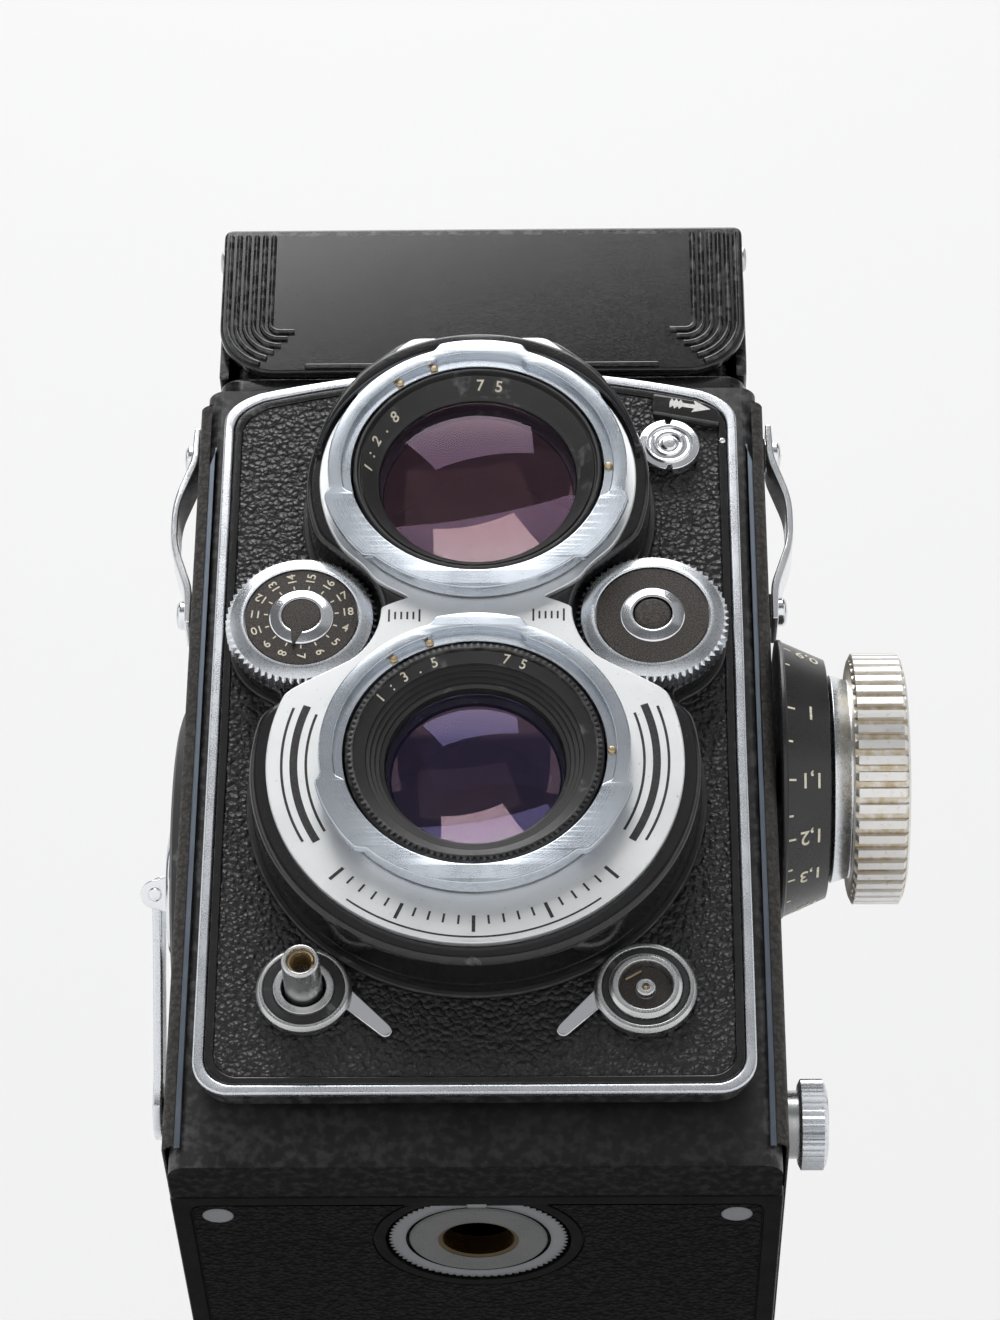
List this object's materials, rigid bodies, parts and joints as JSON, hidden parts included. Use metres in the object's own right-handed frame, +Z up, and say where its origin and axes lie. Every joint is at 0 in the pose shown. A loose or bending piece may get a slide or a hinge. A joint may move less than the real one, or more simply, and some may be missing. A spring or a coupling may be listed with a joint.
{
  "type": "twin lens reflex camera",
  "caption": "Twin lens reflex camera for square roll film pictures, with focusing front, film crank, hinged back and folding finder hood.",
  "frame": {"origin": "middle of the bottom flap of the back, on the plane the camera stands on, 14 mm behind the centre of the tripod socket", "axes": "+Z up, -Y the way the lenses look, +X the side with the focusing knob"},
  "size_m": [0.0987, 0.0943, 0.141],
  "materials": {
    "alloy": "satin blue-grey metal",
    "black_paint": "glossy black enamel",
    "leatherette": "pebbled black leather",
    "satin_chrome": "satin chrome",
    "chrome": "polished chrome",
    "coated_glass": "coated lens glass, violet",
    "clear_glass": "clear or finely ground glass",
    "mirror_silver": "surface silvered",
    "brass": "worn nickel over brass",
    "spool_black": "matt black",
    "dial_black": "black-brown grained enamel"
  },
  "bodies": {
    "body": {"body_casting": "alloy", "left_side_leather": "leatherette", "right_side_leather": "leatherette", "left_strap_lug": "chrome", "right_strap_lug": "chrome", "crank_boss": "black_paint", "light_cone": "black_paint", "film_gate": "satin_chrome", "mirror_cradle": "black_paint", "mirror": "mirror_silver", "ground_glass": "clear_glass", "hood_base": "black_paint", "hood_apron": "black_paint"},
    "front": {"front_panel": "black_paint", "front_trim": "chrome", "front_leather": "leatherette", "shutter_housing": "black_paint", "nameplate": "satin_chrome", "viewing_bayonet_ring": "chrome", "viewing_barrel": "black_paint", "viewing_lens": "coated_glass", "viewing_rear_lens": "clear_glass", "taking_bayonet_ring": "chrome", "taking_barrel": "black_paint", "taking_front_lens": "coated_glass", "shutter_body": "alloy", "iris_blades": "spool_black", "taking_rear_lens": "clear_glass", "release_escutcheon": "satin_chrome", "flash_socket": "satin_chrome", "arrow_plate": "black_paint"},
    "aperture_setting": {"aperture_wheel": "chrome", "aperture_dial": "dial_black"},
    "speed_setting": {"speed_wheel": "chrome", "speed_dial": "dial_black"},
    "coupling_button": {"coupling_button": "satin_chrome"},
    "release_button": {"release_button": "brass"},
    "release_catch": {"release_catch": "chrome"},
    "flash_catch": {"flash_catch": "chrome"},
    "cover_disc": {"cover_disc": "chrome"},
    "focus_knob": {"focus_scale": "black_paint", "focus_grip": "satin_chrome"},
    "crank_hub": {"crank_hub": "chrome"},
    "crank_arm": {"crank_arm": "chrome", "crank_handle": "black_paint"},
    "take_up_spool": {"take_up_spool": "spool_black"},
    "film_roller": {"film_roller": "satin_chrome"},
    "upper_spool_knob": {"upper_spool_knob": "satin_chrome"},
    "lower_spool_knob": {"lower_spool_knob": "satin_chrome"},
    "back_door": {"back_door": "black_paint", "pressure_spring": "satin_chrome", "tripod_bush": "satin_chrome"},
    "pressure_plate": {"pressure_plate": "black_paint"},
    "latch_ring": {"latch_ring": "satin_chrome"},
    "hood_lid": {"hood_lid": "black_paint"},
    "magnifier": {"magnifier_frame": "satin_chrome", "magnifier_lens": "clear_glass"},
    "left_hood_flap": {"left_hood_flap": "black_paint"},
    "right_hood_flap": {"right_hood_flap": "black_paint"},
    "rear_hood_flap": {"rear_hood_flap": "black_paint"}
  },
  "joints": [
    {"name": "focus_turn", "type": "hinge", "parent": "body", "child": "focus_knob", "pos_m": [0.0407, -0.02, 0.0616], "axis": [1, 0, 0], "range_deg": [0, 333]},
    {"name": "front_slide", "type": "slide", "parent": "body", "child": "front", "axis": [0, -1, 0], "range_m": [0, 0.0075]},
    {"name": "aperture_turn", "type": "hinge", "parent": "front", "child": "aperture_setting", "pos_m": [-0.0217, -0.045, 0.0692], "axis": [0, -1, 0], "range_deg": [-168, 168]},
    {"name": "speed_turn", "type": "hinge", "parent": "front", "child": "speed_setting", "pos_m": [0.0217, -0.045, 0.0692], "axis": [0, -1, 0], "range_deg": [-120, 120]},
    {"name": "coupling_press", "type": "slide", "parent": "speed_setting", "child": "coupling_button", "axis": [0, 1, 0], "range_m": [0, 0.0009], "stiffness_N_per_m": 150},
    {"name": "release_press", "type": "slide", "parent": "front", "child": "release_button", "axis": [0, 1, 0], "range_m": [0, 0.0026], "stiffness_N_per_m": 300},
    {"name": "release_catch_turn", "type": "hinge", "parent": "front", "child": "release_catch", "pos_m": [-0.0202, -0.0402, 0.0198], "axis": [0, 1, 0], "range_deg": [0, 40]},
    {"name": "flash_catch_turn", "type": "hinge", "parent": "front", "child": "flash_catch", "pos_m": [0.0202, -0.0402, 0.0198], "axis": [0, -1, 0], "range_deg": [0, 40]},
    {"name": "cover_turn", "type": "hinge", "parent": "front", "child": "cover_disc", "pos_m": [0.0243, -0.041, 0.099], "axis": [0, -1, 0], "range_deg": [0, 90]},
    {"name": "crank_turn", "type": "hinge", "parent": "body", "child": "crank_hub", "pos_m": [-0.0402, 0, 0.057], "axis": [-1, 0, 0], "continuous": true},
    {"name": "crank_fold", "type": "hinge", "parent": "crank_hub", "child": "crank_arm", "pos_m": [-0.0427, 0, 0.057], "axis": [0, 0.8387, 0.5446], "range_deg": [0, 180]},
    {"name": "take_up_turn", "type": "hinge", "parent": "body", "child": "take_up_spool", "pos_m": [0, 0.026, 0.09], "axis": [-1, 0, 0], "continuous": true},
    {"name": "film_roller_turn", "type": "hinge", "parent": "body", "child": "film_roller", "pos_m": [0, 0.03, 0.0095], "axis": [1, 0, 0], "continuous": true},
    {"name": "upper_spool_pull", "type": "slide", "parent": "body", "child": "upper_spool_knob", "axis": [1, 0, 0], "range_m": [0, 0.005]},
    {"name": "lower_spool_pull", "type": "slide", "parent": "body", "child": "lower_spool_knob", "axis": [1, 0, 0], "range_m": [0, 0.005]},
    {"name": "back_open", "type": "hinge", "parent": "body", "child": "back_door", "pos_m": [0, 0.0414, 0.1084], "axis": [1, 0, 0], "range_deg": [0, 110]},
    {"name": "pressure_float", "type": "slide", "parent": "back_door", "child": "pressure_plate", "axis": [0, 1, 0], "range_m": [0, 0.0012], "stiffness_N_per_m": 800},
    {"name": "latch_turn", "type": "hinge", "parent": "back_door", "child": "latch_ring", "pos_m": [0, -0.014, 0.0008], "axis": [0, 0, -1], "range_deg": [0, 75]},
    {"name": "hood_open", "type": "hinge", "parent": "body", "child": "hood_lid", "pos_m": [0, -0.0319, 0.141], "axis": [1, 0, 0], "range_deg": [0, 95]},
    {"name": "magnifier_swing", "type": "hinge", "parent": "hood_lid", "child": "magnifier", "pos_m": [0, -0.012, 0.1364], "axis": [-1, 0, 0], "range_deg": [0, 90]},
    {"name": "left_flap_rise", "type": "hinge", "parent": "body", "child": "left_hood_flap", "pos_m": [-0.0306, 0.002, 0.121], "axis": [0, -1, 0], "range_deg": [0, 90]},
    {"name": "right_flap_rise", "type": "hinge", "parent": "body", "child": "right_hood_flap", "pos_m": [0.0306, 0.002, 0.121], "axis": [0, 1, 0], "range_deg": [0, 90]},
    {"name": "rear_flap_rise", "type": "hinge", "parent": "body", "child": "rear_hood_flap", "pos_m": [0, 0.0345, 0.121], "axis": [-1, 0, 0], "range_deg": [0, 90]}
  ],
  "couplings": [
    {"joint": "focus_turn", "follows": "front_slide", "rad_per_m": 774.9},
    {"joint": "take_up_turn", "follows": "crank_turn", "ratio": 1.3333},
    {"joint": "magnifier_swing", "follows": "hood_open", "ratio": 0.947},
    {"joint": "left_flap_rise", "follows": "hood_open", "ratio": 0.947},
    {"joint": "right_flap_rise", "follows": "hood_open", "ratio": 0.947},
    {"joint": "rear_flap_rise", "follows": "hood_open", "ratio": 0.947}
  ]
}
